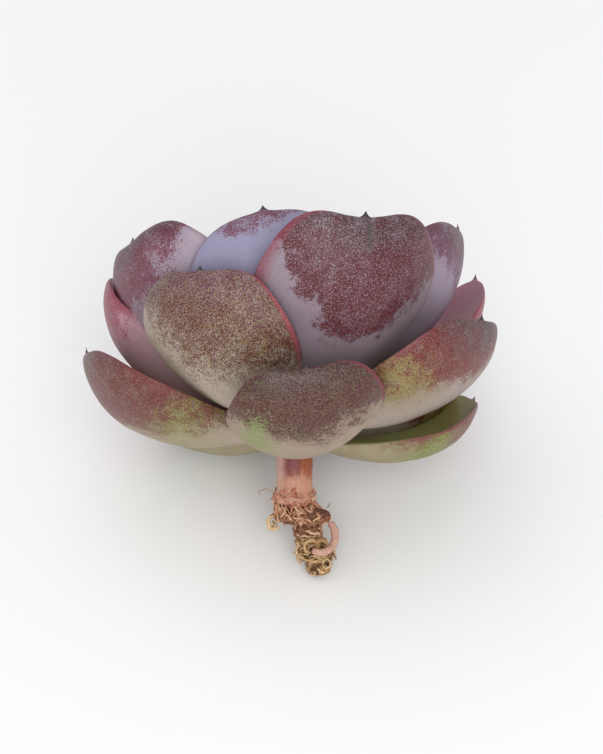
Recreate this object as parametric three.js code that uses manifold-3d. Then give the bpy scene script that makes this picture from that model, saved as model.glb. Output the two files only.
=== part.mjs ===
// A bare-root rosette succulent at life size, in millimetres, +Z up.
// Broad fleshy leaves stand in a golden-angle spiral round a short stem that ends in dried roots.
// It lies as it would on a table: on its root tip and on the low leaves at its back.

import * as THREE from 'three';
import { mergeVertices } from 'three/addons/utils/BufferGeometryUtils.js';
import Module from 'manifold-3d';

// The whole plant
const LEAN_BACK = 46.5;        // degrees the stem leans away from upright
const GAP = 0.3;               // clearance between neighbouring pieces

// The spiral that the leaves follow, counted outwards-in
const GOLDEN_ANGLE = 137.5;    // degrees from one leaf to the next
const FIRST_AZIMUTH = 3;       // degrees, from the front towards the right, of leaf order 0
const BASE_RADIUS = 3.5;       // where leaf order 0 leaves the stem
const BASE_RADIUS_STEP = 0.08; // the stem narrows by this at each leaf
const BASE_HEIGHT_STEP = 0.85; // and climbs by this

// The leaf blade, as shares of its own length, width and thickness
const BASE_WIDTH = 0.34;       // width where it clasps the stem
const BASE_THICKNESS = 0.55;   // thickness there
const FULL_THICKNESS_AT = 0.4; // the place along the leaf where it is thickest
const THINNING = 0.6;          // part of the thickness that is gone again at the point
const BASE_ROUNDING = 0.05;    // the base rounds off over this part of the length
const SHOULDER = 0.66;         // the widest place along the leaf
const BLADE_END = 0.972;       // the blade ends here and the point begins
const TOP_SHARE = 0.25;        // part of the thickness above the midline: the inner face is flat
const POINT_WIDTH = 1.3;       // width of the small point near its foot, in mm
const POINT_FLARE = 0.05;      // how fast it widens into the blade, as a share of the leaf's width
const POINT_REACH = 1.6;       // how far down the blade that goes, in lengths of the point
const POINT_THICKNESS = 0.8;   // its thickness, in mm
const HOOK_FROM = 0.5;         // the upward hook and the notch begin here
const MIDLINE_STEPS = 120;
const LEAF_ACROSS = 12;        // facets round a leaf
const LEAF_ALONG = 14;         // facets from its base to its point

// Each leaf, from the lowest to the heart. order places it on the spiral. length, width and
// thick are in mm. rise, bend, hook, turn, roll and yaw are in degrees: the midline's slope, how
// much that grows from base to tip, how much the tip hooks up besides, and the leaf's own turns
// about the stem, its length and its face. cup is how deeply it is dished, notch how far its
// shoulders stand past its point, in mm, and blunt how square its rounded end is.
const USUAL_LEAF = { turn: 0, roll: 0, yaw: 0, notch: 1.5, blunt: 2.5 };
const LEAVES = [
  {
    order: -2, length: 38.5, width: 34, thick: 5, rise: 4, bend: 27, hook: 51, cup: 0.23,
    turn: 5, roll: 7, yaw: 1,
  },
  { order: -1, length: 40, width: 34, thick: 5.6, rise: 5, bend: 20, hook: 42, cup: 0.22, turn: 2 },
  {
    order: 0, length: 43.5, width: 31, thick: 7, rise: 8.5, bend: 25, hook: 51, cup: 0.2,
    turn: 1, roll: 8, yaw: -1, notch: 3,
  },
  { order: 1, length: 43, width: 35, thick: 6, rise: 7, bend: 18, hook: 42, cup: 0.22, turn: -2 },
  {
    order: 2, length: 46.5, width: 42, thick: 7.5, rise: 11, bend: 28, hook: 51, cup: 0.25,
    turn: 3, roll: 1,
  },
  { order: 3, length: 48, width: 38, thick: 6, rise: 17, bend: 23, hook: 50, cup: 0.23, turn: 2, yaw: 2 },
  { order: 4, length: 46, width: 36, thick: 6.5, rise: 20, bend: 22, hook: 46, cup: 0.24 },
  {
    order: 5, length: 49, width: 33, thick: 6.5, rise: 28, bend: 35, hook: 61, cup: 0.27,
    roll: 1, notch: 2.9,
  },
  {
    order: 6, length: 50, width: 31, thick: 7, rise: 27, bend: 18, hook: 46, cup: 0.25,
    roll: 2, yaw: -1, blunt: 1.8,
  },
  {
    order: 7, length: 50, width: 35, thick: 8.5, rise: 26.5, bend: 27, hook: 53, cup: 0.28,
    turn: 8, roll: 9, yaw: 2, blunt: 1.8,
  },
  {
    order: 8, length: 53.5, width: 37, thick: 7.5, rise: 37, bend: 32, hook: 31, cup: 0.32,
    turn: -3, roll: -1, notch: 4.8,
  },
  { order: 9, length: 46, width: 37, thick: 6.5, rise: 35, bend: 20, hook: 40, cup: 0.26 },
  {
    order: 10, length: 47, width: 43, thick: 8.5, rise: 37, bend: 26, hook: 42, cup: 0.3,
    turn: 1.5, roll: 10, yaw: -10.5, notch: 4,
  },
  {
    order: 11, length: 48, width: 42, thick: 7, rise: 38, bend: 17, hook: 41, cup: 0.32,
    turn: -1.5, roll: -2, yaw: 5.5,
  },
  { order: 12, length: 40, width: 32, thick: 6, rise: 42, bend: 20, hook: 36, cup: 0.26 },
  {
    order: 13, length: 45, width: 34.5, thick: 6.5, rise: 42, bend: 25, hook: 45, cup: 0.22,
    turn: 2, roll: 11, yaw: -3, notch: 1, blunt: 2.1,
  },
  { order: 14, length: 36, width: 28, thick: 5.4, rise: 50, bend: 20, hook: 34, cup: 0.28 },
  { order: 15, length: 29, width: 25, thick: 5, rise: 57, bend: 20, hook: 34, cup: 0.28 },
  { order: 16, length: 30, width: 23, thick: 4.6, rise: 58, bend: 20, hook: 32, cup: 0.3 },
  { order: 17, length: 27, width: 20, thick: 4.2, rise: 62, bend: 20, hook: 32, cup: 0.3 },
  { order: 18, length: 23, width: 17, thick: 3.8, rise: 66, bend: 18, hook: 30, cup: 0.32 },
  { order: 19, length: 20, width: 14, thick: 3.4, rise: 70, bend: 18, hook: 28, cup: 0.32 },
  { order: 20, length: 16, width: 11, thick: 3, rise: 74, bend: 16, hook: 26, cup: 0.34 },
  { order: 21, length: 13, width: 8, thick: 2.6, rise: 78, bend: 14, hook: 22, cup: 0.34 },
];

// The stem: radius against height, from its cut-off foot to the growing tip between the leaves
const STEM_PROFILE = [
  [0, -15.4],
  [3.1, -15.3],
  [4.2, -14.6],
  [4.4, -13.7],
  [3.8, -12.2],
  [3.85, -8],
  [3.9, -3],
  [3.4, 0],
  [2.6, 6],
  [1.9, 12],
  [1.2, 17],
  [0, 18.6],
];
const STEM_FACETS = 20;

// The roots: dried back to a woody crown under the stem, and below it a knot of curled rootlets.
// Lumps are ellipsoids with a wavy skin, each [x, y, z] in mm, with the stem's axis at x = y = 0.
const CROWN_LUMPS = [
  { centre: [1.2, 0, -17.4], radii: [5.2, 4.4, 2] },
  { centre: [4.6, -0.6, -17.6], radii: [2.9, 3.2, 1.7] },
  { centre: [2.8, 0, -20.4], radii: [3.1, 2.8, 2.3] },
];
const TANGLE_LUMPS = [
  { centre: [4.2, 0, -25], radii: [3.9, 3.3, 2] },
  { centre: [4.8, 0, -27.7], radii: [2.5, 2.6, 2.1] },
];
const LUMP_WAVE = 0.07;        // depth of the waves, as a share of the radii
const CURL_THICKNESS = 0.9;    // of a rootlet
const TANGLE_CURLS = [
  { centre: [1.6, -1.2, -24.6], radius: 1.5, turn: [70, 25] },
  { centre: [3, 2.2, -24.2], radius: 1.7, turn: [100, -30] },
  { centre: [6.6, -1.6, -24.8], radius: 1.6, turn: [60, -20] },
  { centre: [7, 1.4, -25.8], radius: 1.4, turn: [80, 60] },
  { centre: [6.4, -1.4, -27.4], radius: 1.3, turn: [90, 35] },
  { centre: [3.6, 1.6, -28], radius: 1.3, turn: [60, -50] },
];
const ROOT_LOOP = {
  thickness: 1.7,
  route: [[7.3, -0.6, -18.6], [8.3, -0.8, -20.6], [7.9, -1.6, -23.2], [6, -3.2, -24.6], [3.6, -4.1, -24.3]],
};
const ROOT_CURL = {
  thickness: 0.8,
  route: [[-4.2, -0.6, -17], [-5.3, -0.9, -17.9], [-5.2, -1, -19.6], [-4.1, -1, -20], [-3.2, -0.9, -19.4]],
};
const LEFT_HAIR = {
  thickness: 0.4,
  route: [[-4.4, 0, -12.5], [-5.5, -0.3, -11.8], [-6.8, -0.5, -12], [-7.4, -0.4, -12.5], [-7, -0.3, -13]],
};
const RIGHT_HAIR = {
  thickness: 0.4,
  route: [[6.8, 0.2, -15.8], [7.1, 0.2, -15.3], [7.5, 0.2, -14.6]],
};

const radians = THREE.MathUtils.degToRad;
const smoothstep = THREE.MathUtils.smoothstep;
const clamp = THREE.MathUtils.clamp;

const wasm = await Module();
wasm.setup();

// ---- closed bodies and cuts ----

function closedBody(geometry) {
  geometry.deleteAttribute('normal');
  geometry.deleteAttribute('uv');
  return mergeVertices(geometry);
}

function solidOf(geometry) {
  return new wasm.Manifold(new wasm.Mesh({
    numProp: 3,
    vertProperties: new Float32Array(geometry.attributes.position.array),
    triVerts: new Uint32Array(geometry.index.array),
  }));
}

function geometryOf(solid) {
  const mesh = solid.getMesh();
  const geometry = new THREE.BufferGeometry();
  geometry.setAttribute('position', new THREE.BufferAttribute(mesh.vertProperties, mesh.numProp));
  geometry.setIndex(new THREE.BufferAttribute(mesh.triVerts, 1));
  return geometry;
}

// The same body with its skin moved out by the clearance.
function withClearance(geometry) {
  const grown = geometry.clone();
  grown.computeVertexNormals();
  const { position, normal } = grown.attributes;
  for (let i = 0; i < position.count; i++) {
    position.setXYZ(
      i,
      position.getX(i) + GAP * normal.getX(i),
      position.getY(i) + GAP * normal.getY(i),
      position.getZ(i) + GAP * normal.getZ(i),
    );
  }
  return grown;
}

// ---- leaves ----

// The blade's half width at a share of the way along it, as a share of its greatest.
function outline(share, blunt) {
  const along = clamp(share / BLADE_END, 0, 1);
  const widening = BASE_WIDTH + (1 - BASE_WIDTH) * smoothstep(along, -BASE_ROUNDING, SHOULDER);
  const pastShoulder = clamp((along - SHOULDER) / (1 - SHOULDER), 0, 1);
  const rounding = (1 - pastShoulder ** blunt) ** (1 / blunt);
  const nearBase = clamp(share / BASE_ROUNDING, 0, 1);
  const closing = Math.sqrt(nearBase * (2 - nearBase));
  return { halfWidth: widening * rounding * closing, rounding, closing };
}

// Half width and thickness in mm. The small point takes over where the blade has rounded off.
function section(leaf, share) {
  const { halfWidth, rounding, closing } = outline(share, leaf.blunt);
  const atEnd = share <= 0 || share >= 1;
  const fromTip = clamp((1 - share) / (1 - BLADE_END), 0, POINT_REACH);
  const flare = POINT_FLARE * leaf.width * fromTip ** 3;
  const point = fromTip < POINT_REACH ? 0.5 * (POINT_WIDTH * fromTip ** 0.6 + flare) : 0;
  const half = atEnd ? 0 : Math.max(0.5 * leaf.width * halfWidth, point);
  const thickening = BASE_THICKNESS + (1 - BASE_THICKNESS) * smoothstep(share, 0, FULL_THICKNESS_AT);
  const thinning = 1 - THINNING * smoothstep(share, FULL_THICKNESS_AT, 1);
  const blade = leaf.thick * thickening * thinning * closing * rounding ** 0.7;
  const thick = Math.max(blade, Math.min(0.9 * half, POINT_THICKNESS));
  return { half, thick };
}

// The midline's points and slopes, found by walking along it in small steps.
function midline(leaf) {
  const points = [{ out: 0, up: 0, slope: radians(leaf.rise - 0.5 * leaf.bend) }];
  for (let i = 1; i <= MIDLINE_STEPS; i++) {
    const share = i / MIDLINE_STEPS;
    const hooked = leaf.hook * smoothstep(share, HOOK_FROM, 1.05);
    const slope = radians(leaf.rise + leaf.bend * (share - 0.5) + hooked);
    const last = points[i - 1];
    const mean = 0.5 * (slope + last.slope);
    const step = leaf.length / MIDLINE_STEPS;
    points.push({ out: last.out + step * Math.cos(mean), up: last.up + step * Math.sin(mean), slope });
  }
  return (share) => {
    const place = clamp(share, 0, 1) * MIDLINE_STEPS;
    const low = Math.min(Math.floor(place), MIDLINE_STEPS - 1);
    const [a, b] = [points[low], points[low + 1]];
    const mix = (key) => THREE.MathUtils.lerp(a[key], b[key], place - low);
    return { out: mix('out'), up: mix('up'), slope: mix('slope') };
  };
}

// A leaf in its own frame: base at the origin, +X out from the stem, +Z up. It starts as a sphere
// whose poles become the base and the point.
function leafBody(leaf) {
  const geometry = closedBody(new THREE.SphereGeometry(1, LEAF_ACROSS, LEAF_ALONG));
  const { position } = geometry.attributes;
  const centre = midline(leaf);
  const end = centre(1);
  const chord = Math.atan2(end.up, end.out);
  const turns = new THREE.Matrix4()
    .makeRotationY(-chord)
    .multiply(new THREE.Matrix4().makeRotationZ(radians(leaf.yaw)))
    .multiply(new THREE.Matrix4().makeRotationX(radians(leaf.roll)))
    .multiply(new THREE.Matrix4().makeRotationY(chord));
  const point = new THREE.Vector3();
  for (let i = 0; i < position.count; i++) {
    const share = 0.5 * (1 + position.getY(i));
    const ring = Math.hypot(position.getX(i), position.getZ(i));
    const cos = ring > 1e-6 ? -position.getX(i) / ring : 0;
    const sin = ring > 1e-6 ? position.getZ(i) / ring : 0;
    const { half, thick } = section(leaf, share);
    const aside = half * cos;
    const edge = Math.abs(aside) / (0.5 * leaf.width);
    const faceShare = sin > 0 ? TOP_SHARE : 1 - TOP_SHARE;
    const lift = faceShare * thick * sin + leaf.cup * 0.5 * leaf.width * edge ** 2;
    const ahead = 2 * leaf.notch * edge ** 1.5 * (1 - edge ** 2) * smoothstep(share, HOOK_FROM, 1);
    const { out, up, slope } = centre(share);
    point.set(
      out - lift * Math.sin(slope) + ahead * Math.cos(slope),
      aside,
      up + lift * Math.cos(slope) + ahead * Math.sin(slope),
    );
    point.applyMatrix4(turns);
    position.setXYZ(i, point.x, point.y, point.z);
  }
  return geometry;
}

function leafColour(order) {
  const low = new THREE.Color(0x7d6f5e);
  const heart = new THREE.Color(0x8b7f95);
  return low.lerp(heart, clamp((order + 2) / 14, 0, 1));
}

function placedLeaf(row) {
  const leaf = { ...USUAL_LEAF, ...row };
  const material = new THREE.MeshStandardMaterial({
    color: leafColour(leaf.order),
    roughness: 0.6,
    metalness: 0,
  });
  const mesh = new THREE.Mesh(leafBody(leaf), material);
  const fromFront = FIRST_AZIMUTH + GOLDEN_ANGLE * leaf.order + leaf.turn;
  const radius = BASE_RADIUS - BASE_RADIUS_STEP * leaf.order;
  mesh.rotation.z = radians(fromFront - 90);
  mesh.position.set(radius, 0, 0).applyEuler(mesh.rotation);
  mesh.position.z = BASE_HEIGHT_STEP * leaf.order;
  mesh.name = `leaf_${String(leaf.order + 3).padStart(2, '0')}`;
  mesh.updateMatrix();
  return mesh;
}

// Cut a piece's neighbours, each with its clearance, out of it.
function fitBetween(mesh, neighbours) {
  let solid = solidOf(mesh.geometry);
  const toMesh = mesh.matrix.clone().invert();
  for (const other of neighbours) {
    const whole = other.userData.whole ?? other.geometry;
    const place = toMesh.clone().multiply(other.matrix);
    const cutter = solidOf(withClearance(whole).applyMatrix4(place));
    solid = solid.subtract(cutter).subtract(solidOf(whole.clone().applyMatrix4(place)));
  }
  const pieces = solid.decompose().sort((a, b) => b.volume() - a.volume());
  mesh.userData.whole = mesh.geometry;
  mesh.geometry = geometryOf(pieces[0]);
}

// ---- stem ----

function stem() {
  const profile = STEM_PROFILE.map(([radius, height]) => new THREE.Vector2(radius, height));
  const geometry = closedBody(new THREE.LatheGeometry(profile, STEM_FACETS));
  geometry.rotateX(radians(90));
  const material = new THREE.MeshStandardMaterial({ color: 0xb9817a, roughness: 0.6, metalness: 0 });
  const mesh = new THREE.Mesh(geometry, material);
  mesh.name = 'stem';
  mesh.updateMatrix();
  return mesh;
}

// ---- roots ----

function lump({ centre, radii }) {
  const geometry = closedBody(new THREE.SphereGeometry(1, 12, 8));
  const { position } = geometry.attributes;
  const point = new THREE.Vector3();
  for (let i = 0; i < position.count; i++) {
    point.fromBufferAttribute(position, i);
    const wave = Math.sin(5 * point.x + 2 * point.z) + Math.sin(6 * point.y - 4 * point.z + 1);
    point.multiplyScalar(1 + LUMP_WAVE * wave);
    position.setXYZ(i, point.x, point.y, point.z);
  }
  return geometry.scale(...radii).translate(...centre);
}

function curl({ centre, radius, turn }) {
  const geometry = closedBody(new THREE.TorusGeometry(radius, 0.5 * CURL_THICKNESS, 6, 10));
  return geometry.rotateX(radians(turn[0])).rotateZ(radians(turn[1])).translate(...centre);
}

function strand({ thickness, route }) {
  const path = new THREE.CatmullRomCurve3(route.map((point) => new THREE.Vector3(...point)));
  const round = new THREE.Shape().absarc(0, 0, 0.5 * thickness, 0, 2 * Math.PI);
  return closedBody(new THREE.ExtrudeGeometry(round, {
    steps: 4 * (route.length - 1),
    curveSegments: 4,
    bevelEnabled: false,
    extrudePath: path,
  }));
}

function joined(geometries) {
  return geometryOf(geometries.map(solidOf).reduce((whole, next) => whole.add(next)));
}

function rootMesh(name, geometry, color) {
  const material = new THREE.MeshStandardMaterial({ color, roughness: 0.9, metalness: 0 });
  const mesh = new THREE.Mesh(geometry, material);
  mesh.name = name;
  return mesh;
}

function roots() {
  return [
    rootMesh('root_crown', joined(CROWN_LUMPS.map(lump)), 0x8a6350),
    rootMesh('root_tangle', joined([...TANGLE_LUMPS.map(lump), ...TANGLE_CURLS.map(curl)]), 0xa58a66),
    rootMesh('root_loop', strand(ROOT_LOOP), 0xb98476),
    rootMesh('root_curl', strand(ROOT_CURL), 0xb08c6c),
    rootMesh('left_root_hair', strand(LEFT_HAIR), 0xb3a080),
    rootMesh('right_root_hair', strand(RIGHT_HAIR), 0xb3a080),
  ];
}

// ---- assembly ----

// Each piece is fitted to the ones before it. Where leaves crowd together at the stem, the inner
// one's back is pressed to the shape of the outer one's face.
const plant = new THREE.Group();
for (const mesh of [stem(), ...roots(), ...LEAVES.map(placedLeaf)]) {
  fitBetween(mesh, plant.children);
  plant.add(mesh);
}

plant.rotation.x = radians(-LEAN_BACK);
plant.updateMatrixWorld(true);
const box = new THREE.Box3().setFromObject(plant, true);
plant.position.set(-0.5 * (box.min.x + box.max.x), -0.5 * (box.min.y + box.max.y), -box.min.z);

const model = new THREE.Group();
model.add(plant);
export default model;
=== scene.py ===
import math
import random

import bmesh
import bpy
from mathutils import Color, Matrix, Vector, noise


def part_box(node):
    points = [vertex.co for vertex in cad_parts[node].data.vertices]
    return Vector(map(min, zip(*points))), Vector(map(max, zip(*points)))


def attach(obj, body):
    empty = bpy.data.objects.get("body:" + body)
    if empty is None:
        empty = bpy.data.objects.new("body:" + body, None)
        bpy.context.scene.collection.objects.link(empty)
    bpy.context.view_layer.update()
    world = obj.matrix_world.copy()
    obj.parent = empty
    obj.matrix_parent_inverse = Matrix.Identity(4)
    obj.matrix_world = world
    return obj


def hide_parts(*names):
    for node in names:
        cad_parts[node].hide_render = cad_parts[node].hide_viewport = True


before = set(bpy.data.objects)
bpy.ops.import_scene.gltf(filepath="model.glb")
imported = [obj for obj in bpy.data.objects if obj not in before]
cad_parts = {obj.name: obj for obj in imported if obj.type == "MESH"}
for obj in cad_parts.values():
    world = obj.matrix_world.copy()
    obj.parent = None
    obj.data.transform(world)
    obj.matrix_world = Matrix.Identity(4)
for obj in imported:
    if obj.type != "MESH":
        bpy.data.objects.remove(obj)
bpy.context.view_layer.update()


# ---- Floor ----
# A wide seamless sheet of pale studio paper. It isn't part of the plant.

def new_piece(name, bm, material):
    """Turn a finished bmesh into a smooth piece of one material."""
    mesh = bpy.data.meshes.new(name)
    bm.to_mesh(mesh)
    bm.free()
    mesh.shade_smooth()
    mesh.materials.append(material)
    piece = bpy.data.objects.new(name, mesh)
    bpy.context.scene.collection.objects.link(piece)
    return piece


def paint(hex_colour):
    """A colour as it would be mixed, from its everyday hex code."""
    parts = [int(hex_colour[i:i + 2], 16) / 255 for i in (0, 2, 4)]
    return (*Color(parts).from_srgb_to_scene_linear(), 1)


class Socket:
    """A shader value that can be added, multiplied and compared like a number."""

    def __init__(self, tree, source):
        self.tree = tree
        self.source = source

    def node(self, kind, settings=None, **inputs):
        """Add a node. Its inputs go by name, or by number as i0, i1 and so on."""
        made = self.tree.nodes.new(kind)
        for key, value in (settings or {}).items():
            setattr(made, key, value)
        for key, value in inputs.items():
            target = made.inputs[int(key[1:]) if key[1:].isdigit() else key]
            if isinstance(value, Socket):
                self.tree.links.new(value.source, target)
            else:
                target.default_value = value
        return made

    def out(self, kind, output, settings=None, **inputs):
        return Socket(self.tree, self.node(kind, settings, **inputs).outputs[output])

    def math(self, operation, *values):
        inputs = {f"i{n}": value for n, value in enumerate(values)}
        return self.out("ShaderNodeMath", 0, {"operation": operation}, **inputs)

    def __add__(self, other):
        return self.math("ADD", self, other)

    def __radd__(self, other):
        return self.math("ADD", other, self)

    def __sub__(self, other):
        return self.math("SUBTRACT", self, other)

    def __rsub__(self, other):
        return self.math("SUBTRACT", other, self)

    def __mul__(self, other):
        return self.math("MULTIPLY", self, other)

    def __rmul__(self, other):
        return self.math("MULTIPLY", other, self)

    def __pow__(self, other):
        return self.math("POWER", self, other)

    def __neg__(self):
        return self.math("MULTIPLY", self, -1)

    def __abs__(self):
        return self.math("ABSOLUTE", self)

    def step(self, low, high):
        """0 below low, 1 above high and smooth between them."""
        return self.out(
            "ShaderNodeMapRange", 0, {"interpolation_type": "SMOOTHSTEP"},
            i0=self, i1=low, i2=high, i3=0.0, i4=1.0,
        )

    def mix(self, first, second):
        """From the first colour to the second as this value goes from 0 to 1."""
        return self.out(
            "ShaderNodeMix", 2, {"data_type": "RGBA", "clamp_factor": True},
            i0=self, i6=first, i7=second,
        )

    def grain(self, size, detail=2.0, rough=0.5, at=(0, 0, 0)):
        """Noise about a mean of one half, with blots of that size, read at this place moved by at."""
        place = self.out("ShaderNodeMapping", 0, None, i0=self, i1=at)
        return place.out(
            "ShaderNodeTexNoise", 0, {"noise_dimensions": "3D"},
            Vector=place, Scale=1 / size, Detail=detail, Roughness=rough,
        )


def new_material(name, roughness, **fixed):
    """A material, its shader and the place on the piece that its patterns are read at."""
    material = bpy.data.materials.new(name)
    material.use_nodes = True
    tree = material.node_tree
    shader = tree.nodes["Principled BSDF"]
    shader.inputs["Roughness"].default_value = roughness
    for key, value in fixed.items():
        shader.inputs[key.replace("_", " ")].default_value = value
    place = Socket(tree, tree.nodes.new("ShaderNodeTexCoord").outputs["Object"])
    return material, shader, place


def wire(shader, **values):
    """Feed the shader's inputs with values that change over the piece."""
    for key, value in values.items():
        value.tree.links.new(value.source, shader.inputs[key.replace("_", " ")])


FLOOR_SIZE = 4.0

paper, paper_shader, paper_place = new_material("studio_paper", 0.9, Specular_IOR_Level=0.1)
clouds = paper_place.grain(0.4).step(0.3, 0.7)
wire(paper_shader, Base_Color=clouds.mix(paint("eeeeef"), paint("f1f1f1")))
bm = bmesh.new()
bmesh.ops.create_grid(bm, x_segments=1, y_segments=1, size=FLOOR_SIZE / 2)
floor = new_piece("floor", bm, paper)


# ---- Stem ----
# A short green stem gone pink and tan in the light, about 8 mm thick, in mm along the plant's own
# axes. Its top runs up between the leaves, and papery scales peel off its foot.

MM = 0.001
LEAN = math.radians(46.5)
STEM_TOP = 18.6
STEM_PROFILE = [
    (0, -15.4), (3.1, -15.3), (4.2, -14.6), (4.4, -13.7), (3.8, -12.2), (3.85, -8),
    (3.9, -3), (3.4, 0), (2.6, 6), (1.9, 12), (1.2, 17), (0, STEM_TOP),
]
STEM_STEPS = 96
FLOOR_GAP = 0.00002

stem_low, stem_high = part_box("stem")
stem_axis = Vector((0, math.sin(LEAN), math.cos(LEAN)))
stem_tip = Vector(((stem_low.x + stem_high.x) / 2, stem_high.y, stem_high.z))
base_point = stem_tip - stem_axis * STEM_TOP * MM
plant = Matrix.Translation(base_point) @ Matrix.Rotation(-LEAN, 4, "X") @ Matrix.Scale(MM, 4)


def bumpy(bm, size, depth):
    """Dent the skin by up to depth, in bumps of that size."""
    bm.normal_update()
    for vert in bm.verts:
        vert.co -= vert.normal * depth * (0.5 + 0.5 * noise.noise(vert.co / size))


def set_down(bm, place):
    """Put a mesh made in mm in its place on the plant, on the floor or above it."""
    bm.transform(place)
    for vert in bm.verts:
        vert.co.z = max(vert.co.z, FLOOR_GAP)


def tint_layer(bm):
    """How pale each strand is, for its colour."""
    return bm.verts.layers.float.get("tint") or bm.verts.layers.float.new("tint")


def add_strand(bm, points, radius, tint=0.5, flat=1.0, sides=8, taper=0.5):
    """A round or flattened strand along the points, closed at its ends. tint is how pale it is."""
    layer = tint_layer(bm)
    last = len(points) - 1
    side = (points[1] - points[0]).orthogonal().normalized()
    rings = []
    for i, point in enumerate(points):
        ahead = (points[min(i + 1, last)] - points[max(i - 1, 0)]).normalized()
        side = (side - ahead * side.dot(ahead)).normalized()
        over = ahead.cross(side)
        size = radius * (1 - taper * abs(2 * i / last - 1) ** 3) * (1 + 0.2 * noise.noise(point * 2))
        ring = []
        for k in range(sides):
            turn = 2 * math.pi * k / sides
            vert = bm.verts.new(point + size * (math.cos(turn) * side + flat * math.sin(turn) * over))
            vert[layer] = tint
            ring.append(vert)
        rings.append(ring)
    for low, high in zip(rings, rings[1:]):
        for k in range(sides):
            bm.faces.new((low[k], low[(k + 1) % sides], high[(k + 1) % sides], high[k]))
    bm.faces.new(reversed(rings[0]))
    bm.faces.new(rings[-1])


def plant_piece(name, bm, material, node):
    """A piece made along the plant's own axes, which its colours follow."""
    where = bm.verts.layers.float_vector.new("plant_place")
    for vert in bm.verts:
        vert[where] = vert.co
    set_down(bm, plant)
    piece = new_piece(name, bm, material)
    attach(piece, "root")
    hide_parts(node)


def read_place(place, attribute):
    """A place kept on the piece's own points, and its three parts."""
    spot = place.out("ShaderNodeAttribute", 1, {"attribute_name": attribute})
    parts = spot.node("ShaderNodeSeparateXYZ", None, i0=spot)
    return spot, [Socket(spot.tree, parts.outputs[n]) for n in range(3)]


def roughen(shader, height, strength, depth):
    """Raise and dent the skin with the height, by about depth in metres."""
    bump = height.node("ShaderNodeBump", None, Strength=strength, Distance=depth, Height=height)
    shader.id_data.links.new(bump.outputs[0], shader.inputs["Normal"])


def stem_skin():
    """Pink stem, browner at both sides and paler at its foot, with streaks that run up it."""
    skin, shader, place = new_material("stem_skin", 0.5, Subsurface_Weight=0.15, Subsurface_Scale=0.001)
    spot, (right, _, up) = read_place(place, "plant_place")
    drawn_out = spot.out("ShaderNodeVectorMath", 0, {"operation": "MULTIPLY"}, i0=spot, i1=(1, 1, 0.22))
    streak = drawn_out.grain(0.7, 3, 0.6)
    wander = spot.grain(2.2, 3, 0.6) - 0.5
    across = right + wander * 1.6
    shade = across.step(-3.0, -1.2).mix(paint("c09690"), paint("7c3829"))
    shade = across.step(0.4, 2.4).mix(shade, paint("9a4c24"))
    smear = (1 - abs(across + 0.4) * 0.55) * (up + wander * 2).step(-8.5, -6.5)
    shade = (smear.step(0.1, 0.7) * 0.7).mix(shade, paint("7b3a44"))
    below = (wander * 5 - up).step(7.5, 10.5)
    shade = (below * 0.75).mix(shade, paint("cc9a80"))
    shade = ((streak - 0.5).step(0.0, 0.16) * 0.3).mix(shade, paint("8e4c3c"))
    shade = ((0.5 - streak).step(0.02, 0.2) * 0.2).mix(shade, paint("d8b4a4"))
    wire(shader, Base_Color=shade)
    roughen(shader, streak + wander * 0.6, 0.4, 0.0003)
    return skin


bm = bmesh.new()
verts = [bm.verts.new((radius, 0, height)) for radius, height in STEM_PROFILE]
edges = [bm.edges.new(pair) for pair in zip(verts, verts[1:])]
bmesh.ops.subdivide_edges(bm, edges=edges, cuts=5)
bmesh.ops.spin(bm, geom=bm.edges[:] + bm.verts[:], axis=(0, 0, 1), angle=2 * math.pi, steps=STEM_STEPS,
               use_merge=True)
bmesh.ops.remove_doubles(bm, verts=bm.verts, dist=1e-4)
bmesh.ops.recalc_face_normals(bm, faces=bm.faces)
bumpy(bm, 2.0, 0.15)
bumpy(bm, 0.7, 0.08)
plant_piece("stem_body", bm, stem_skin(), "stem")


def dry_skin(name, dark, middle, pale, roughness=0.9):
    """Dried root or scale, each strand with its own tint between dark and pale."""
    skin, shader, place = new_material(name, roughness, Specular_IOR_Level=0.25)
    tint = place.out("ShaderNodeAttribute", 2, {"attribute_name": "tint"})
    tone = tint + (place.grain(0.0006, 3, 0.6) - 0.5) * 0.9
    shade = tone.step(0.0, 0.5).mix(paint(dark), paint(middle))
    shade = tone.step(0.45, 1.0).mix(shade, paint(pale))
    wire(shader, Base_Color=shade)
    roughen(shader, place.grain(0.00035, 3, 0.6), 0.5, 0.0002)
    return skin


FOOT_HEIGHT = -13.9
FOOT_HALF = 2
FOOT_RADIUS = 3.9
FOOT_SWELL = 0.5
SCALES = 70
SCALE_STEPS = 5
SPIKES = [
    [(-3.7, -1.2, -13.0), (-4.4, -1.4, -13.4), (-5.1, -1.6, -14.0)],
    [(2.6, -3.2, -13.6), (4.2, -3.0, -14.6), (6.0, -2.8, -16.0)],
    [(-1.0, -4.2, -13.0), (0.6, -4.5, -13.5), (1.8, -4.4, -13.4)],
    [(-3.2, -3.0, -12.6), (-2.2, -3.8, -13.4), (-1.6, -4.0, -13.2)],
]

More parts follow.
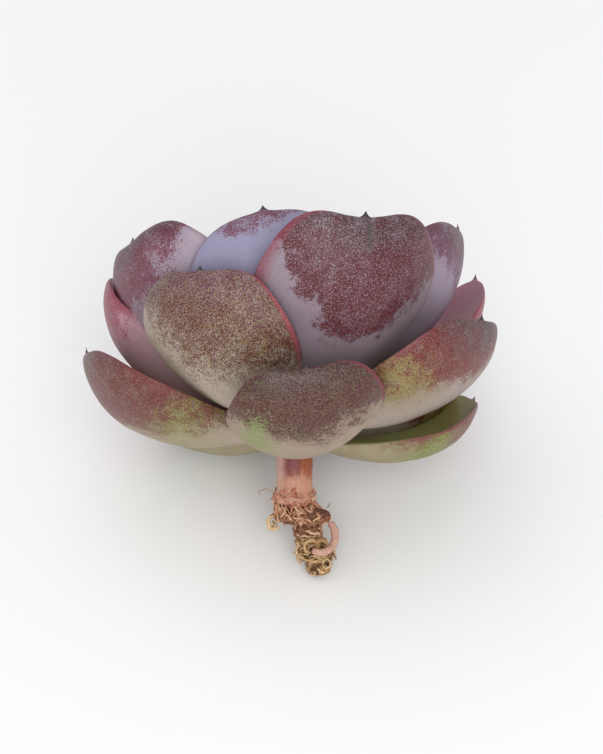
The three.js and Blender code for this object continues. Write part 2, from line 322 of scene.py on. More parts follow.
rng = random.Random(5)
bm = bmesh.new()
for _ in range(SCALES):
    turn = rng.uniform(0, 2 * math.pi)
    height = rng.uniform(-15.6, -12.2)
    lean = rng.uniform(-0.25, 0.25)
    size = rng.uniform(0.4, 1.1)
    peel = rng.uniform(0.0, 0.35)
    route = []
    for i in range(SCALE_STEPS + 1):
        t = i / SCALE_STEPS
        up = height + size * t
        swell = max(0, 1 - ((up - FOOT_HEIGHT) / FOOT_HALF) ** 2)
        radius = FOOT_RADIUS + FOOT_SWELL * swell + peel * t ** 2
        angle = turn + lean * t
        route.append(Vector((radius * math.cos(angle), radius * math.sin(angle), up)))
    add_strand(bm, route, rng.uniform(0.15, 0.5), rng.uniform(0.1, 1), flat=0.25, taper=0.8)
for spike in SPIKES:
    add_strand(bm, [Vector(point) for point in spike], 0.16, 0.2, taper=0.8)
scale_skin = dry_skin("papery_scales", "a4533f", "c58a70", "e2bba4", 0.7)
plant_piece("stem_scales", bm, scale_skin, "stem")


# ---- Leaves ----
# Thick, waxy, spoon-shaped leaves with a small point, each clasping the stem by its narrow base.
# They stand in one spiral, a golden angle apart. Their lengths are in mm, their angles in degrees.

GOLDEN_ANGLE = 137.5
FIRST_AZIMUTH = 3
BASE_RADIUS = 3.5
BASE_RADIUS_STEP = 0.08
BASE_HEIGHT_STEP = 0.85
BASE_WIDTH = 0.34
BASE_THICKNESS = 0.55
FULL_THICKNESS_AT = 0.4
THINNING = 0.6
BASE_ROUNDING = 0.05
SHOULDER = 0.66
BLADE_END = 0.972
TOP_SHARE = 0.25
POINT_WIDTH = 1.3
POINT_FLARE = 0.05
POINT_REACH = 1.6
POINT_THICKNESS = 0.8
HOOK_FROM = 0.5
LEAF_AROUND = 56
LEAF_ALONG = 80
MIDLINE_STEPS = 200


def clamp(value, low=0.0, high=1.0):
    return max(low, min(high, value))


def smoothstep(value, low, high):
    t = clamp((value - low) / (high - low))
    return t * t * (3 - 2 * t)


def leaf_section(leaf, share):
    """Half width and thickness of a leaf at a share of the way along it."""
    along = clamp(share / BLADE_END)
    widening = BASE_WIDTH + (1 - BASE_WIDTH) * smoothstep(along, -BASE_ROUNDING, SHOULDER)
    past = clamp((along - SHOULDER) / (1 - SHOULDER))
    rounding = (1 - past ** leaf["blunt"]) ** (1 / leaf["blunt"])
    near_base = clamp(share / BASE_ROUNDING)
    closing = math.sqrt(near_base * (2 - near_base))
    from_tip = clamp((1 - share) / (1 - BLADE_END), 0, POINT_REACH)
    flare = POINT_FLARE * leaf["width"] * from_tip ** 3
    point = 0.5 * (POINT_WIDTH * from_tip ** 0.6 + flare) if from_tip < POINT_REACH else 0
    half = max(0.5 * leaf["width"] * widening * rounding * closing, point)
    thickening = BASE_THICKNESS + (1 - BASE_THICKNESS) * smoothstep(share, 0, FULL_THICKNESS_AT)
    thinning = 1 - THINNING * smoothstep(share, FULL_THICKNESS_AT, 1)
    blade = leaf["thick"] * thickening * thinning * closing * rounding ** 0.7
    return half, max(blade, min(0.9 * half, POINT_THICKNESS))


def leaf_midline(leaf):
    """Points and slopes along the middle of a leaf."""
    step = leaf["length"] / MIDLINE_STEPS
    out = up = 0.0
    points = []
    last = None
    for i in range(MIDLINE_STEPS + 1):
        share = i / MIDLINE_STEPS
        hooked = leaf["hook"] * smoothstep(share, HOOK_FROM, 1.05)
        slope = math.radians(leaf["rise"] + leaf["bend"] * (share - 0.5) + hooked)
        if last is not None:
            out += step * math.cos((slope + last) / 2)
            up += step * math.sin((slope + last) / 2)
        points.append((out, up, slope))
        last = slope

    def at(share):
        place = clamp(share) * MIDLINE_STEPS
        low = min(int(place), MIDLINE_STEPS - 1)
        return [a + (b - a) * (place - low) for a, b in zip(points[low], points[low + 1])]

    return at


def leaf_mesh(leaf):
    """A ball drawn out into a leaf, its poles at the base and the point."""
    bm = bmesh.new()
    bmesh.ops.create_uvsphere(bm, u_segments=LEAF_AROUND, v_segments=LEAF_ALONG, radius=1)
    where = bm.verts.layers.float_vector.new("leaf_place")
    middle = leaf_midline(leaf)
    tip_out, tip_up, _ = middle(1)
    chord = math.atan2(tip_up, tip_out)
    turns = (
        Matrix.Rotation(-chord, 4, "Y")
        @ Matrix.Rotation(math.radians(leaf["yaw"]), 4, "Z")
        @ Matrix.Rotation(math.radians(leaf["roll"]), 4, "X")
        @ Matrix.Rotation(chord, 4, "Y")
    )
    for vert in bm.verts:
        share = clamp((1 + vert.co.z) / 2)
        ring = math.hypot(vert.co.x, vert.co.y)
        cos, sin = (vert.co.x / ring, vert.co.y / ring) if ring > 1e-6 else (0, 0)
        half, thick = leaf_section(leaf, share) if 1e-6 < share < 1 - 1e-6 else (0, 0)
        aside = half * cos
        edge = abs(aside) / (0.5 * leaf["width"])
        face_share = TOP_SHARE if sin > 0 else 1 - TOP_SHARE
        lift = face_share * thick * sin + leaf["cup"] * 0.5 * leaf["width"] * edge ** 2
        ahead = 2 * leaf["notch"] * edge ** 1.5 * (1 - edge ** 2) * smoothstep(share, HOOK_FROM, 1)
        out, up, slope = middle(share)
        vert[where] = (share, cos, sin)
        vert.co = turns @ Vector((
            out - lift * math.sin(slope) + ahead * math.cos(slope),
            aside,
            up + lift * math.cos(slope) + ahead * math.sin(slope),
        ))
    bumpy(bm, 5.0, 0.25)
    azimuth = FIRST_AZIMUTH + GOLDEN_ANGLE * leaf["order"] + leaf["turn"]
    stand = Matrix.Rotation(math.radians(azimuth - 90), 4, "Z")
    outward = Matrix.Translation((BASE_RADIUS - BASE_RADIUS_STEP * leaf["order"], 0, 0))
    upward = Matrix.Translation((0, 0, BASE_HEIGHT_STEP * leaf["order"]))
    set_down(bm, plant @ upward @ stand @ outward)
    bmesh.ops.recalc_face_normals(bm, faces=bm.faces)
    return bm


# How a leaf is coloured. Left and right are as seen from outside, with -1 and 1 at the margins.
# Tissue: flesh is its red or maroon, flecks its green or olive, and dark its colour near the point.
# green is how much of the green shows, about at along the leaf and side across it, where it fades
# by narrow toward either margin.
# Wax: low and high are its colours near the base and the point. bare is how much of it is gone in
# the speckled part, which begins between from and to along the leaf, and veil how much comes back
# at the point. skirt is how far the whole wax climbs up the left and right margins.
# Dots: pepper is how strong the fine dark ones are, salt the fine pale ones, and spots the larger
# dark ones at the left and right.
# Margin and rest: rim is the margin's colour, rims its strength at the left and right, and wide
# its width. inner colours the inner face, made lighter on the lowest leaves as painted light, and
# the groove setting is how strong the painted shade and the dent in the groove below the point are.
USUAL_LOOK = {"low": "a69c8e", "high": "8c7d86", "flesh": "5e2a26", "flecks": "78763a", "dark": "4a2830",
              "bare": 0.7, "from": 0.3, "to": 0.6, "veil": 0.15, "skirt": (0.0, 0.0), "green": 0.3,
              "at": 0.6, "side": 0.0, "narrow": 0.0, "pepper": 0.3, "salt": 0.25, "spots": (0.3, 0.3),
              "rim": "743640", "rims": (0.4, 0.4), "wide": 0.05, "inner": "80805a", "shaded_groove": 0.0}
FRONT_LOOK = {"low": "c4b496", "high": "75565f", "flesh": "4e1a1b", "flecks": "7c8c4c", "dark": "3a141c",
              "bare": 1.1, "from": 0.5, "to": 0.84, "veil": 0.05, "skirt": (0.05, 0.05), "green": 1.1,
              "at": 0.6, "side": -0.68, "narrow": 3.0, "pepper": 0.22, "salt": 0.16, "spots": (0.5, 0.5),
              "rim": "7e3444", "rims": (0.1, 0.9), "wide": 0.08}
LEFT_LOOK = {"low": "c0b49c", "high": "9c8684", "flesh": "641c1a", "flecks": "7c7e34", "dark": "502a34",
             "bare": 0.85, "from": 0.5, "to": 0.78, "skirt": (0.14, -0.4), "green": 0.8,
             "at": 0.44, "side": 0.4, "narrow": 0.6, "pepper": 0.15, "spots": (0.1, 1.0),
             "rims": (0.3, 0.4), "wide": 0.08, "inner": "8a764a"}
RIGHT_LOOK = {"low": "c2b6a8", "high": "84727a", "flesh": "6a1a1a", "flecks": "86783a", "dark": "44303a",
              "bare": 0.9, "from": 0.62, "to": 0.88, "skirt": (-0.4, 0.12), "green": 0.9,
              "at": 0.6, "side": -0.8, "narrow": 1.0, "pepper": 0.15, "spots": (1.0, 0.1),
              "rims": (0.35, 0.15), "wide": 0.08}
# Its inner colour is painted light: a pale lime, lighter than the real inner face, to lift the shade that the
# leaf above casts on it.
GREEN_LOOK = {"low": "aba480", "high": "8a7668", "flesh": "6c2c26", "flecks": "7a8c36", "dark": "6c3a42",
              "bare": 0.8, "from": 0.5, "to": 0.85, "skirt": (-0.25, 0.0), "green": 0.8, "spots": (0.8, 0.4),
              "rims": (0.8, 0.6), "inner": "ccd484"}
BEIGE_LOOK = {"low": "c0b5a8", "high": "c0ada4", "flesh": "56201e", "flecks": "988e54", "dark": "5a2e42",
              "bare": 0.84, "from": 0.34, "to": 0.84, "veil": -0.05, "skirt": (0.24, -0.14), "green": 0.25,
              "at": 0.7, "side": 0.6, "narrow": 0.5, "pepper": 0.4, "salt": 0.45, "spots": (0.35, 0.95),
              "rim": "a04656", "rims": (0.1, 0.8), "wide": 0.05, "inner": "8a7c7c"}
ROSE_LOOK = {"low": "c8b4bc", "high": "cc9cac", "flesh": "94384c", "flecks": "8c4a5c", "dark": "7c2e42",
             "bare": 0.8, "from": 0.5, "to": 0.8, "pepper": 0.15, "inner": "c48096"}
MAROON_LOOK = {"low": "928e98", "high": "988492", "flesh": "541824", "flecks": "6c3238", "dark": "3e2229",
               "bare": 0.86, "from": 0.5, "to": 0.62, "veil": 0.16, "skirt": (0.28, 0.2), "pepper": 0.12,
               "salt": 0.4, "spots": (0.9, 0.8), "rim": "883848", "rims": (0.7, 0.3), "wide": 0.14,
               "inner": "8a8298", "shaded_groove": 0.9}
LILAC_LOOK = {"low": "b8aaac", "high": "8a82a2", "flesh": "6a263c", "flecks": "7e4054", "dark": "421e2c",
              "bare": 0.86, "from": 0.56, "to": 0.84, "skirt": (-0.15, 0.22), "pepper": 0.12,
              "spots": (0.6, 0.3), "rim": "6c3448", "rims": (0.6, 0.3), "inner": "8f8ca8"}
VIOLET_LOOK = {"low": "9a98ac", "high": "8582a6", "flesh": "6c2c42", "flecks": "743a4e", "dark": "602a3e",
               "bare": 0.8, "from": 0.84, "to": 0.99, "pepper": 0.06, "inner": "8f8ca8"}
DUSK_LOOK = {"low": "b0a2ae", "high": "9e92ac", "flesh": "66304a", "flecks": "7a4c62", "dark": "482332",
             "bare": 0.82, "from": 0.68, "to": 0.88, "rims": (0.4, 0.6), "pepper": 0.12, "inner": "8f8ca8"}


# What all leaves share: the sizes in metres of what is seen on them, the darkest blots of the
# tissue, the pale dots, the painted shade in the groove below the point and the point itself.
WANDER_SIZE = 0.009
PATCH_SIZE = 0.003
CLUMP_SIZE = 0.0028
BLOT_SIZE = 0.0009
FLECK_SIZE = 0.0005
TINT_SIZE = 0.0003
GRAIN_SIZE = 0.00022
DOT_SIZE = 0.0002
BLOT_COLOUR = "42201f"
SALT_COLOUR = "b8aab0"
# Dark grey painted as shade into the groove below the point, where the crease lies in shade.
GROOVE_SHADE_COLOUR = "46403e"
POINT_COLOUR = "3a2a2c"


def from_left_to_right(across, pair, soft):
    """The first value at the left of the leaf and the second at its right."""
    left, right = pair
    return left + across.step(-soft, soft) * (right - left)


def leaf_skin(name, leaf):
    """Waxy skin: speckled tissue, a matt bloom worn off it in flecks, and a red margin."""
    look = {**USUAL_LOOK, **leaf["look"]}
    colour = {key: paint(look[key]) for key in ("low", "high", "flesh", "flecks", "dark", "rim", "inner")}
    skin, shader, place = new_material(name, 0.5, Specular_IOR_Level=0.4)
    _, (along, across, face) = read_place(place, "leaf_place")
    wander = place.grain(WANDER_SIZE, 3, 0.5) - 0.5
    patches = place.grain(PATCH_SIZE, 5, 0.65) - 0.5
    clumps = place.grain(CLUMP_SIZE, 4, 0.55, (0.3, 0, 0)) - 0.5
    blots = place.grain(BLOT_SIZE, 3, 0.6) - 0.5
    flecks = place.grain(FLECK_SIZE, 2, 0.6, (0.4, 0, 0)) - 0.5
    grains = place.grain(GRAIN_SIZE, 2, 0.6) - 0.5
    dots = place.grain(DOT_SIZE, 1, 0.5, (0.1, 0, 0)) - 0.5
    tints = place.grain(TINT_SIZE, 1, 0.5, (0.2, 0, 0)) - 0.5

    # The tissue: flesh with green in it, darker near the point and in small blots.
    near_tip = (along + wander * 0.2).step(0.8, 0.97)
    beside = 1 - abs(across + wander * 0.5 - look["side"]) * look["narrow"]
    near_green = (1 - abs(along + wander * 0.4 - look["at"]) * 4).step(0, 1) * beside.step(0, 1)
    greenish = flecks * 0.9 + grains * 0.6 + wander * 0.5 + near_green * (0.4 * look["green"])
    tissue = greenish.step(0.13, 0.22).mix(colour["flesh"], colour["flecks"])
    tissue = near_tip.mix(tissue, colour["dark"])
    tissue = ((blots + grains * 0.3 - 0.05).step(0, 0.07) * 0.6).mix(tissue, paint(BLOT_COLOUR))

    # The wax over it, whole near the base and worn to specks further up.
    skirt = abs(across) ** 1.5 * from_left_to_right(across, look["skirt"], 0.3) * (1 - near_tip)
    speckled = (along - skirt + wander * 0.25 + patches * 0.35).step(look["from"], look["to"])
    cover = 1 - speckled * look["bare"] + near_tip * look["veil"]
    ragged = grains * 1.1 + blots * 0.45 + patches * 0.4 - clumps * 0.25
    waxed = (ragged + (cover - 0.5) * 0.6).step(-0.05, 0.06)
    upper = along.step(0.25, 0.85)
    low_to_high = upper.mix(colour["low"], colour["high"])
    high_to_low = upper.mix(colour["high"], colour["low"])
    wax = (patches + 0.5).mix(low_to_high, high_to_low)
    wax = (near_green * (look["green"] * 0.6)).mix(wax, colour["flecks"])
    shade = (waxed * (0.75 + cover * 0.23)).mix(tissue, wax)

    # Spots and dots.
    spots = (flecks * 0.9 + clumps * 0.7 + grains * 0.4 - 0.06).step(0, 0.07)
    shade = (spots * speckled * from_left_to_right(across, look["spots"], 0.6)).mix(shade, colour["flesh"])
    salt = (dots - clumps * 0.2).step(0.05, 0.12) * (speckled * look["salt"] + 0.05)
    shade = salt.mix(shade, paint(SALT_COLOUR))
    pepper = (-dots).step(0.05, 0.12) * (speckled * 0.7 + 0.3) * look["pepper"]
    shade = pepper.mix(shade, colour["flesh"])
    shade = (tints.step(0.03, 0.1) * look["pepper"]).mix(shade, colour["flecks"])

    # The painted shade in the groove below the point, the inner face, the margins and the point.
    shaded_groove = (1 - abs(across - 0.03) * 9).step(0, 1) * near_tip * look["shaded_groove"]
    shade = shaded_groove.mix(shade, paint(GROOVE_SHADE_COLOUR))
    shade = (face.step(0.0, 0.25) * (0.6 + grains)).mix(shade, colour["inner"])
    rim = (abs(across) + wander * 0.04 + grains * 0.04).step(0.995 - look["wide"], 0.995)
    rim = rim * along.step(0.3, 0.6) * from_left_to_right(across, look["rims"], 0.2) * (1 + grains * 2)
    shade = rim.mix(shade, colour["rim"])
    shade = along.step(BLADE_END, BLADE_END + 0.012).mix(shade, paint(POINT_COLOUR))
    wire(shader, Base_Color=shade, Roughness=0.42 + waxed * 0.2)
    roughen(shader, waxed * 0.3 + grains * 0.8 + blots * 0.6 - shaded_groove * 2, 0.25, 0.0002)
    return skin


# One row for each leaf, from the lowest up. order is its place in the spiral, and turn, roll and
# yaw are how far it strays from that. rise, bend and hook shape its middle line, cup lifts its
# margins, notch is the dip at its point, and blunt how square its end is.
USUAL_LEAF = {"turn": 0, "roll": 0, "yaw": 0, "notch": 1.5, "blunt": 2.5}
LEAVES = [
    {"order": -2, "length": 38.5, "width": 34, "thick": 5, "rise": 4, "bend": 27, "hook": 51, "cup": 0.23,
     "turn": 5, "roll": 7, "yaw": 1, "look": GREEN_LOOK},
    {"order": -1, "length": 40, "width": 34, "thick": 5.6, "rise": 5, "bend": 20, "hook": 42, "cup": 0.22,
     "turn": 2, "look": GREEN_LOOK},
    {"order": 0, "length": 43.5, "width": 31, "thick": 7, "rise": 8.5, "bend": 25, "hook": 51, "cup": 0.2,
     "turn": 1, "roll": 8, "yaw": -1, "notch": 3, "look": FRONT_LOOK},
    {"order": 1, "length": 43, "width": 35, "thick": 6, "rise": 7, "bend": 18, "hook": 42, "cup": 0.22,
     "turn": -2, "look": RIGHT_LOOK},
    {"order": 2, "length": 46.5, "width": 42, "thick": 7.5, "rise": 11, "bend": 28, "hook": 51, "cup": 0.25,
     "turn": 3, "roll": 1, "look": LEFT_LOOK},
    {"order": 3, "length": 48, "width": 38, "thick": 6, "rise": 17, "bend": 23, "hook": 50, "cup": 0.23,
     "turn": 2, "yaw": 2, "look": RIGHT_LOOK},
    {"order": 4, "length": 46, "width": 36, "thick": 6.5, "rise": 20, "bend": 22, "hook": 46, "cup": 0.24,
     "look": LEFT_LOOK},
    {"order": 5, "length": 49, "width": 33, "thick": 6.5, "rise": 28, "bend": 35, "hook": 61, "cup": 0.27,
     "roll": 1, "notch": 2.9, "look": BEIGE_LOOK},
    {"order": 6, "length": 50, "width": 31, "thick": 7, "rise": 27, "bend": 18, "hook": 46, "cup": 0.25,
     "roll": 2, "yaw": -1, "blunt": 1.8, "look": ROSE_LOOK},
    {"order": 7, "length": 50, "width": 35, "thick": 8.5, "rise": 26.5, "bend": 27, "hook": 53, "cup": 0.28,
     "turn": 8, "roll": 9, "yaw": 2, "blunt": 1.8, "look": ROSE_LOOK},
    {"order": 8, "length": 53.5, "width": 37, "thick": 7.5, "rise": 37, "bend": 32, "hook": 31, "cup": 0.32,
     "turn": -3, "roll": -1, "notch": 4.8, "look": MAROON_LOOK},
    {"order": 9, "length": 46, "width": 37, "thick": 6.5, "rise": 35, "bend": 20, "hook": 40, "cup": 0.26,
     "look": MAROON_LOOK},
    {"order": 10, "length": 47, "width": 43, "thick": 8.5, "rise": 37, "bend": 26, "hook": 42, "cup": 0.3,
     "turn": 1.5, "roll": 10, "yaw": -10.5, "notch": 4, "look": LILAC_LOOK},
    {"order": 11, "length": 48, "width": 42, "thick": 7, "rise": 38, "bend": 17, "hook": 41, "cup": 0.32,
     "turn": -1.5, "roll": -2, "yaw": 5.5, "look": DUSK_LOOK},
    {"order": 12, "length": 40, "width": 32, "thick": 6, "rise": 42, "bend": 20, "hook": 36, "cup": 0.26,
     "look": DUSK_LOOK},
    {"order": 13, "length": 45, "width": 34.5, "thick": 6.5, "rise": 42, "bend": 25, "hook": 45, "cup": 0.22,
     "turn": 2, "roll": 11, "yaw": -3, "notch": 1, "blunt": 2.1, "look": VIOLET_LOOK},
    {"order": 14, "length": 36, "width": 28, "thick": 5.4, "rise": 50, "bend": 20, "hook": 34, "cup": 0.28,
     "look": DUSK_LOOK},
    {"order": 15, "length": 29, "width": 25, "thick": 5, "rise": 57, "bend": 20, "hook": 34, "cup": 0.28,
     "look": LILAC_LOOK},
    {"order": 16, "length": 30, "width": 23, "thick": 4.6, "rise": 58, "bend": 20, "hook": 32, "cup": 0.3,
     "look": VIOLET_LOOK},
    {"order": 17, "length": 27, "width": 20, "thick": 4.2, "rise": 62, "bend": 20, "hook": 32, "cup": 0.3,
     "look": VIOLET_LOOK},
    {"order": 18, "length": 23, "width": 17, "thick": 3.8, "rise": 66, "bend": 18, "hook": 30, "cup": 0.32,
     "look": VIOLET_LOOK},
    {"order": 19, "length": 20, "width": 14, "thick": 3.4, "rise": 70, "bend": 18, "hook": 28, "cup": 0.32,
     "look": VIOLET_LOOK},
    {"order": 20, "length": 16, "width": 11, "thick": 3, "rise": 74, "bend": 16, "hook": 26, "cup": 0.34,
     "look": VIOLET_LOOK},
    {"order": 21, "length": 13, "width": 8, "thick": 2.6, "rise": 78, "bend": 14, "hook": 22, "cup": 0.34,
     "look": VIOLET_LOOK},
]

for number, row in enumerate(LEAVES, 1):
    leaf = {**USUAL_LEAF, **row}
    node = f"leaf_{number:02d}"
    piece = new_piece(f"{node}_skin", leaf_mesh(leaf), leaf_skin(node, leaf))
    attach(piece, "root")
    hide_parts(node)


# ---- Roots ----
# Under the stem the old roots have dried to a shaggy woody crown, with a dark dried cap at its
# right. Below it hangs a knot of curled brown rootlets that ends in a ball, and beside it one
# thicker root that is still pink. They are broken off short, as on a plant sold bare-rooted.

# A lump is its centre and three radii. A curl is its centre, its radius, how it is tilted and
# turned in degrees, and how much of the ring is there.
CROWN_LUMPS = [
    ((1.2, 0, -17.4), (5.2, 4.4, 2.0)),
    ((4.6, -0.6, -17.6), (2.9, 3.2, 1.7)),
    ((2.8, 0, -20.4), (3.1, 2.8, 2.3)),
]
TANGLE_LUMPS = [
    ((4.2, 0, -25), (3.9, 3.3, 2.0)),
    ((4.8, 0, -27.7), (2.5, 2.6, 2.1)),
]
CAP = ((5.0, -1.7, -17.0), (2.3, 1.7, 1.2))
NECK = ((3.2, -0.4, -22.5), (2.9, 2.7, 1.6))
LUMP_WAVE = 0.07
LUMP_SHARE = 0.9
WINDING_STEP = 0.25
RING_STEPS = 28
RING_CLOSING = 0.15


def add_lump(bm, centre, radii, share, tint, wrinkle):
    """A wavy ball that the strands lie on."""
    layer = tint_layer(bm)
    for vert in bmesh.ops.create_icosphere(bm, subdivisions=5, radius=1)["verts"]:
        x, y, z = vert.co
        wave = math.sin(5 * x + 2 * z) + math.sin(6 * y - 4 * z + 1)
        rough = wrinkle * noise.fractal(Vector((x, y, z)) * 3, 1.0, 2.0, 4)
        size = share * (1 + LUMP_WAVE * wave + rough)
        vert.co = Vector([c + r * size * v for c, r, v in zip(centre, radii, (x, y, z))])
        vert[layer] = tint


def winding(rng, centre, radii, length, wander, loose):
    """The way of a rootlet over a lump. It turns as it goes, and its end may stand off."""
    place = Vector([rng.gauss(0, 1) for _ in range(3)]).normalized()
    heading = Vector([rng.gauss(0, 1) for _ in range(3)])
    lift = rng.uniform(0.86, 1.02)
    reach = sum(radii) / 3
    steps = max(6, int(length / WINDING_STEP))
    points = []
    for i in range(steps):
        stand = lift + loose * max(0, i / steps - 0.6)
        points.append(Vector([c + r * stand * p for c, r, p in zip(centre, radii, place)]))
        heading += wander * Vector([rng.gauss(0, 1) for _ in range(3)])
        heading -= place * heading.dot(place)
        heading.normalize()
        place = (place + heading * WINDING_STEP / reach).normalized()
    return points


def smooth_route(corners, steps=8):
    """The points of a smooth curve through the corners."""
    ends = [Vector(corner) for corner in (corners[0], *corners, corners[-1])]
    points = []
    for a, b, c, d in zip(ends, ends[1:], ends[2:], ends[3:]):
        for i in range(steps):
            t = i / steps
            bend = (2 * a - 5 * b + 4 * c - d) * t ** 2 + (3 * b - a - 3 * c + d) * t ** 3
            points.append(b + 0.5 * ((c - a) * t + bend))
    return points + [ends[-1]]


def ring_route(centre, radius, tilt, spin, share=1.0):
    """Points round a curl that may be left open."""
    turns = Matrix.Rotation(math.radians(spin), 3, "Z") @ Matrix.Rotation(math.radians(tilt), 3, "X")
    points = []
    for i in range(int(RING_STEPS * share) + 1):
        t = i / RING_STEPS
        angle = 2 * math.pi * t
        spread = radius * (1 - RING_CLOSING * t)
        flat = Vector((spread * math.cos(angle), spread * math.sin(angle), 0))
        points.append(Vector(centre) + turns @ flat)
    return points


CROWN_FIBRES = 150
FIBRE_STEPS = 8
CROWN_STRANDS = 46
THICK_ROOTLETS = 36
THIN_ROOTLETS = 60
CURL_ROOTLETS = 14

rng = random.Random(11)
woody = dry_skin("woody_root", "5e3c2c", "b3805f", "dcb496")
bm = bmesh.new()
for centre, radii in CROWN_LUMPS:
    add_lump(bm, centre, radii, LUMP_SHARE, 0.15, 0.1)
for _ in range(CROWN_FIBRES):
    turn = rng.uniform(0, 2 * math.pi)
    drift = rng.uniform(-0.5, 0.5)
    top = rng.uniform(-16.4, -14.2)
    fall = rng.uniform(1.0, 3.2)
    flare = rng.uniform(-0.6, 0.9)
    route = []
    for i in range(FIBRE_STEPS + 1):
        t = i / FIBRE_STEPS
        angle = turn + drift * t
        spread = 4.3 + 0.3 * t + flare * t ** 2
        aside = spread * math.cos(angle) + 0.9 * t
        route.append(Vector((aside, 0.9 * spread * math.sin(angle), top - fall * t)))
    add_strand(bm, route, rng.uniform(0.1, 0.28), rng.uniform(0.3, 1.0), flat=0.6, sides=6, taper=0.7)
for centre, radii in CROWN_LUMPS:
    for _ in range(CROWN_STRANDS):
        route = winding(rng, centre, radii, rng.uniform(2, 6), 0.4, rng.uniform(0, 0.4))
        add_strand(bm, route, rng.uniform(0.1, 0.3), rng.uniform(0.1, 1.0), sides=6)
plant_piece("root_crown_wood", bm, woody, "root_crown")

bm = bmesh.new()
add_lump(bm, *CAP, 1.0, 0.4, 0.12)
cap_skin = dry_skin("dried_cap", "3e2622", "6c463c", "8e6a5c", 0.75)
plant_piece("root_crown_cap", bm, cap_skin, "root_crown")

rootlet = dry_skin("dry_rootlets", "533a26", "ac855c", "dcbf94")
CURLS = [
    ((1.6, -1.2, -24.6), 1.5, 70, 25, 0.9),
    ((3.0, 2.2, -24.2), 1.7, 100, -30, 1.0),
    ((6.6, -1.6, -24.8), 1.6, 60, -20, 0.8),
    ((7.0, 1.4, -25.8), 1.4, 80, 60, 1.0),
    ((3.6, 1.6, -28.0), 1.3, 60, -50, 0.9),
    ((3.4, -3.0, -23.6), 1.5, 95, 5, 0.7),
    ((5.6, -3.2, -23.2), 1.2, 110, -10, 0.8),
    ((1.4, -2.2, -26.0), 1.0, 80, 30, 0.75),
    ((7.6, -2.0, -26.2), 1.0, 85, -35, 0.8),
]
bm = bmesh.new()
for centre, radii in TANGLE_LUMPS:
    add_lump(bm, centre, radii, LUMP_SHARE, 0.1, 0.12)
for curl in CURLS:
    add_strand(bm, ring_route(*curl), rng.uniform(0.25, 0.42), rng.uniform(0.3, 1.0))
for centre, radii in (*TANGLE_LUMPS, NECK):
    for _ in range(THICK_ROOTLETS):
        route = winding(rng, centre, radii, rng.uniform(2, 7), 0.5, rng.uniform(0, 0.4))
        add_strand(bm, route, rng.uniform(0.14, 0.36), rng.uniform(0.0, 1.0))
    for _ in range(THIN_ROOTLETS):
        route = winding(rng, centre, radii, rng.uniform(2, 6), 0.6, rng.uniform(0, 0.8))
        add_strand(bm, route, rng.uniform(0.06, 0.16), rng.uniform(0.2, 1.0), sides=6)
add_strand(bm, ring_route((6.5, -2.6, -27.1), 0.95, 88, -12), 0.13, 1.0, sides=6, taper=0)
plant_piece("root_tangle_curls", bm, rootlet, "root_tangle")

ROOT_LOOP = [(7.3, -0.6, -18.6), (8.3, -0.8, -20.6), (7.9, -1.6, -23.2), (6, -3.2, -24.6), (3.6, -4.1, -24.3)]
ROOT_CURL = [(-4.2, -0.6, -17), (-5.3, -0.9, -17.9), (-5.2, -1, -19.6), (-4.1, -1, -20), (-3.2, -0.9, -19.4)]
LEFT_HAIR = [(-4.4, 0, -12.5), (-5.5, -0.3, -11.8), (-6.8, -0.5, -12), (-7.4, -0.4, -12.5), (-7, -0.3, -13)]
RIGHT_HAIR = [(6.8, 0.2, -15.8), (7.1, 0.2, -15.3), (7.5, 0.2, -14.6)]

bm = bmesh.new()
add_strand(bm, smooth_route(ROOT_LOOP, 12), 0.88, 0.6, sides=20, taper=0.25)
bumpy(bm, 1.1, 0.12)
pink = dry_skin("pink_root", "9c6456", "bd8f80", "dcbfa8", 0.6)
plant_piece("root_loop_skin", bm, pink, "root_loop")

bm = bmesh.new()
add_strand(bm, smooth_route(ROOT_CURL, 8), 0.45, 0.8, sides=12, taper=0.4)
for _ in range(CURL_ROOTLETS):
    route = winding(rng, (-4.5, -0.9, -18.2), (0.9, 0.8, 1.4), rng.uniform(1, 3), 0.5, 0.2)
    add_strand(bm, route, rng.uniform(0.08, 0.22), rng.uniform(0.2, 1.0), sides=6)
plant_piece("root_curl_skin", bm, rootlet, "root_curl")

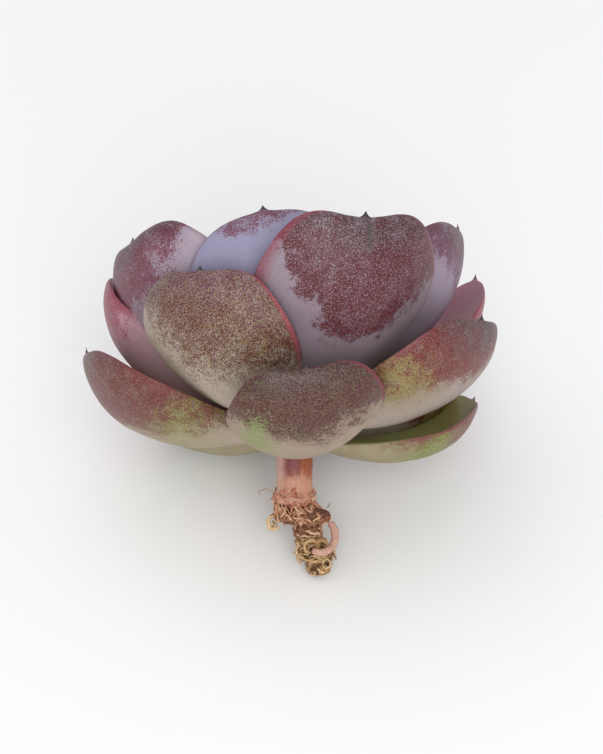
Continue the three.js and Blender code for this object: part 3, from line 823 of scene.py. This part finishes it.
hair_skin = dry_skin("root_hair", "6a5a48", "9a8c70", "c8bca0")
for side, route in (("left", LEFT_HAIR), ("right", RIGHT_HAIR)):
    bm = bmesh.new()
    add_strand(bm, smooth_route(route, 8), 0.14, 0.6, sides=8, taper=0.6)
    plant_piece(f"{side}_hair_skin", bm, hair_skin, f"{side}_root_hair")


# ---- Camera and light ----
# A long lens looks down on the leaning plant. One big soft box stands in front of it and a
# weaker one hangs over it, in a white tent.

CAMERA_RISE = LEAN + math.radians(1)
CAMERA_DISTANCE = 0.369
LENS = 85
AIM_RIGHT = 0.00155
AIM_UP = 0.0114
LAMP_AIM = Vector((0, 0, 0.03))
TENT_LIGHT = 0.62

camera_data = bpy.data.cameras.new("camera")
camera_data.lens = LENS
camera_data.clip_start = 0.01
camera = bpy.data.objects.new("camera", camera_data)
bpy.context.scene.collection.objects.link(camera)
towards_camera = Vector((0, -math.cos(CAMERA_RISE), math.sin(CAMERA_RISE)))
camera_up = Vector((0, math.sin(CAMERA_RISE), math.cos(CAMERA_RISE)))
camera.location = base_point + CAMERA_DISTANCE * towards_camera
aim = base_point + AIM_UP * camera_up + Vector((AIM_RIGHT, 0, 0))
camera.rotation_euler = (aim - camera.location).to_track_quat("-Z", "Y").to_euler()
bpy.context.scene.camera = camera


def soft_box(name, place, size, power):
    light = bpy.data.lights.new(name, "AREA")
    light.shape = "SQUARE"
    light.size = size
    light.energy = power
    lamp = bpy.data.objects.new(name, light)
    lamp.location = place
    lamp.rotation_euler = (LAMP_AIM - lamp.location).to_track_quat("-Z", "Y").to_euler()
    bpy.context.scene.collection.objects.link(lamp)


soft_box("front_box", Vector((0.15, -1.2, 1.05)), 1.3, 15)
soft_box("top_box", Vector((-0.3, 0.2, 1.2)), 1.2, 4)

world = bpy.data.worlds.new("white_tent")
world.use_nodes = True
tent = world.node_tree.nodes["Background"]
tent.inputs["Color"].default_value = (1, 1, 1, 1)
tent.inputs["Strength"].default_value = TENT_LIGHT
bpy.context.scene.world = world
bpy.context.scene.view_settings.view_transform = "Standard"
